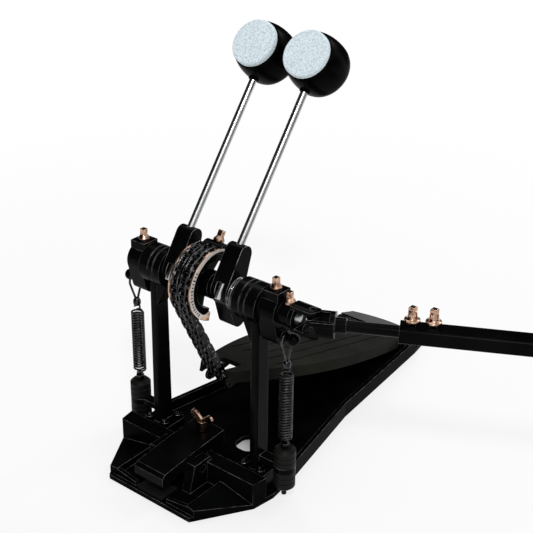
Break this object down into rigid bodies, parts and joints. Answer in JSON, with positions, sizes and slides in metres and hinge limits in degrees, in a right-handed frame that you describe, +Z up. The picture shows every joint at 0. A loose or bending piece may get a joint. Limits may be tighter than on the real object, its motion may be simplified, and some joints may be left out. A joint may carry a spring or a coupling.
{
  "type": "double bass drum pedal",
  "caption": "Chain-drive pedal with twin beaters, spring returns and hoop clamp, joined to a second footboard by a telescoping drive shaft with universal joints.",
  "frame": {"origin": "on the floor under the primary axle, in the plane of the primary chain cam", "axes": "+X along the axle towards the second pedal, +Y towards the player's heel, +Z up"},
  "size_m": [0.7699, 0.637, 0.4162],
  "materials": {
    "black_paint": "gloss black",
    "board_paint": "satin grey",
    "chrome": "bright chrome",
    "black_steel": "black oxide steel",
    "copper": "satin copper plate",
    "knob": "matte dark grey",
    "head": "smooth black",
    "felt": "white pressed felt",
    "pad_rubber": "matte black rubber"
  },
  "bodies": {
    "primary_frame": {"base_plate": "black_paint", "heel_plate": "black_paint", "heel_hinge_pin": "chrome", "post_left": "black_paint", "post_right": "black_paint", "axle_bearings": "chrome", "post_screws": "black_steel", "hoop_pad": "pad_rubber", "clamp_spring": "chrome", "spring_anchors": "black_steel"},
    "clamp_jaw": {"hoop_clamp_jaw": "black_paint"},
    "clamp_screw": {"clamp_wing_screw": "copper"},
    "knob_left": {"spring_knob_left": "knob"},
    "knob_right": {"spring_knob_right": "knob"},
    "left_axle": {"primary_axle": "chrome", "chain_cam": "black_paint", "cam_flanges": "copper", "chain_clamp": "black_paint", "chain_wrap": "black_steel", "beater_hub_left": "black_paint", "beater_rod_left": "chrome", "beater_head_left": "head", "beater_felt_left": "felt", "spring_rocker_left": "black_paint", "key_bolts_left": "copper"},
    "right_axle": {"secondary_axle": "chrome", "axle_collar": "chrome", "beater_hub_right": "black_paint", "beater_rod_right": "chrome", "beater_head_right": "head", "beater_felt_right": "felt", "spring_rocker_right": "black_paint", "joint_yoke_inner": "black_paint", "key_bolts_right": "copper"},
    "board": {"footboard": "board_paint", "toe_bracket": "black_paint"},
    "chain_lower": {"chain_link_lower": "black_steel"},
    "chain_straight": {"chain_span": "black_steel"},
    "left_spring": {"spring_left": "black_steel"},
    "left_spring_link": {"spring_link_left": "black_steel"},
    "right_spring": {"spring_right": "black_steel"},
    "right_spring_link": {"spring_link_right": "black_steel"},
    "inner_cross": {"joint_cross_inner": "black_steel"},
    "bar": {"shaft_bar": "black_steel"},
    "second_frame": {"second_base_plate": "black_paint", "second_heel_plate": "black_paint", "second_posts": "black_paint", "second_bearings": "chrome", "second_fasteners": "black_steel"},
    "tube": {"shaft_tube": "black_paint", "shaft_key_bolts": "copper"},
    "outer_cross": {"joint_cross_outer": "black_steel"},
    "second_axle_body": {"second_axle": "chrome", "second_cam": "black_paint", "second_cam_trim": "copper", "second_chain_wrap": "black_steel"},
    "second_board": {"second_footboard": "board_paint", "second_toe_bracket": "black_paint"},
    "second_chain_lower": {"second_chain_link": "black_steel"},
    "second_chain_straight": {"second_chain_span": "black_steel"}
  },
  "joints": [
    {"name": "left_stroke", "type": "hinge", "parent": "primary_frame", "child": "left_axle", "pos_m": [0, 0, 0.2], "axis": [1, 0, 0], "range_deg": [0, 38], "stiffness_Nm_per_rad": 3, "springref_deg": -20.05},
    {"name": "right_stroke", "type": "hinge", "parent": "primary_frame", "child": "right_axle", "pos_m": [0, 0, 0.2], "axis": [1, 0, 0], "range_deg": [0, 38], "stiffness_Nm_per_rad": 3, "springref_deg": -20.05},
    {"name": "board_hinge", "type": "hinge", "parent": "primary_frame", "child": "board", "pos_m": [0, 0.28999, 0.022], "axis": [1, 0, 0], "range_deg": [0, 5.5]},
    {"name": "chain_pin_upper", "type": "hinge", "parent": "left_axle", "child": "chain_lower", "pos_m": [0, -0.03231, 0.19245], "axis": [1, 0, 0], "range_deg": [-29.07, 0]},
    {"name": "chain_pin_lower", "type": "hinge", "parent": "chain_lower", "child": "chain_straight", "pos_m": [0, -0.02957, 0.18493], "axis": [1, 0, 0], "range_deg": [-19.11, 0]},
    {"name": "left_spring_swing", "type": "hinge", "parent": "primary_frame", "child": "left_spring", "pos_m": [-0.0895, 0, 0.064], "axis": [1, 0, 0], "range_deg": [-7.34, 0]},
    {"name": "left_spring_stretch", "type": "slide", "parent": "left_spring", "child": "left_spring_link", "axis": [0, 0, 1], "range_m": [0, 0.0063], "deforming": ["spring_left"]},
    {"name": "left_knob_turn", "type": "hinge", "parent": "primary_frame", "child": "knob_left", "pos_m": [-0.0895, 0, 0.037], "axis": [0, 0, 1], "continuous": true},
    {"name": "right_spring_swing", "type": "hinge", "parent": "primary_frame", "child": "right_spring", "pos_m": [0.0975, 0, 0.064], "axis": [1, 0, 0], "range_deg": [-7.34, 0]},
    {"name": "right_spring_stretch", "type": "slide", "parent": "right_spring", "child": "right_spring_link", "axis": [0, 0, 1], "range_m": [0, 0.0063], "deforming": ["spring_right"]},
    {"name": "right_knob_turn", "type": "hinge", "parent": "primary_frame", "child": "knob_right", "pos_m": [0.0975, 0, 0.037], "axis": [0, 0, 1], "continuous": true},
    {"name": "jaw_rock", "type": "hinge", "parent": "primary_frame", "child": "clamp_jaw", "pos_m": [0, -0.038, 0.024], "axis": [1, 0, 0], "range_deg": [0, 6], "deforming": ["clamp_spring"]},
    {"name": "wing_screw_turn", "type": "hinge", "parent": "clamp_jaw", "child": "clamp_screw", "pos_m": [0, -0.006, 0.045], "axis": [0, 0, 1], "continuous": true},
    {"name": "inner_cross_tilt", "type": "hinge", "parent": "right_axle", "child": "inner_cross", "pos_m": [0.1245, 0, 0.2], "axis": [0, 0, 1], "range_deg": [-5.39, 0]},
    {"name": "bar_spin", "type": "hinge", "parent": "primary_frame", "child": "bar", "pos_m": [0.1245, 0, 0.2], "axis": [0.8829, 0.4695, 0], "range_deg": [0, 35.29]},
    {"name": "shaft_extend", "type": "slide", "parent": "primary_frame", "child": "second_frame", "axis": [0.8829, 0.4695, 0], "range_m": [-0.03, 0.06]},
    {"name": "tube_spin", "type": "hinge", "parent": "second_frame", "child": "tube", "pos_m": [0.53066, 0.21596, 0.2], "axis": [0.8829, 0.4695, 0], "range_deg": [0, 35.29]},
    {"name": "second_axle_turn", "type": "hinge", "parent": "second_frame", "child": "second_axle_body", "pos_m": [0.60566, 0.21596, 0.2], "axis": [1, 0, 0], "range_deg": [0, 38.76]},
    {"name": "outer_cross_tilt", "type": "hinge", "parent": "second_axle_body", "child": "outer_cross", "pos_m": [0.53066, 0.21596, 0.2], "axis": [0, 0, 1], "range_deg": [-5.39, 0]},
    {"name": "second_board_hinge", "type": "hinge", "parent": "second_frame", "child": "second_board", "pos_m": [0.60566, 0.50595, 0.022], "axis": [1, 0, 0], "range_deg": [0, 5.5]},
    {"name": "second_chain_pin_upper", "type": "hinge", "parent": "second_axle_body", "child": "second_chain_lower", "pos_m": [0.60566, 0.18364, 0.19245], "axis": [1, 0, 0], "range_deg": [-29.07, 0]},
    {"name": "second_chain_pin_lower", "type": "hinge", "parent": "second_chain_lower", "child": "second_chain_straight", "pos_m": [0.60566, 0.18639, 0.18493], "axis": [1, 0, 0], "range_deg": [-19.11, 0]}
  ],
  "couplings": [
    {"joint": "board_hinge", "follows": "left_stroke", "ratio": 0.1418},
    {"joint": "chain_pin_upper", "follows": "left_stroke", "ratio": -0.75},
    {"joint": "chain_pin_lower", "follows": "left_stroke", "ratio": -0.4931},
    {"joint": "left_spring_swing", "follows": "left_stroke", "ratio": -0.1893},
    {"joint": "left_spring_stretch", "follows": "left_stroke", "m_per_rad": 0.00908},
    {"joint": "right_spring_swing", "follows": "right_stroke", "ratio": -0.1893},
    {"joint": "right_spring_stretch", "follows": "right_stroke", "m_per_rad": 0.00908},
    {"joint": "inner_cross_tilt", "follows": "right_stroke", "ratio": -0.139},
    {"joint": "bar_spin", "follows": "right_stroke", "ratio": 0.9105},
    {"joint": "tube_spin", "follows": "right_stroke", "ratio": 0.9105},
    {"joint": "second_axle_turn", "follows": "right_stroke", "ratio": 1},
    {"joint": "outer_cross_tilt", "follows": "right_stroke", "ratio": -0.139},
    {"joint": "second_board_hinge", "follows": "right_stroke", "ratio": 0.1418},
    {"joint": "second_chain_pin_upper", "follows": "right_stroke", "ratio": -0.75},
    {"joint": "second_chain_pin_lower", "follows": "right_stroke", "ratio": -0.4931}
  ]
}
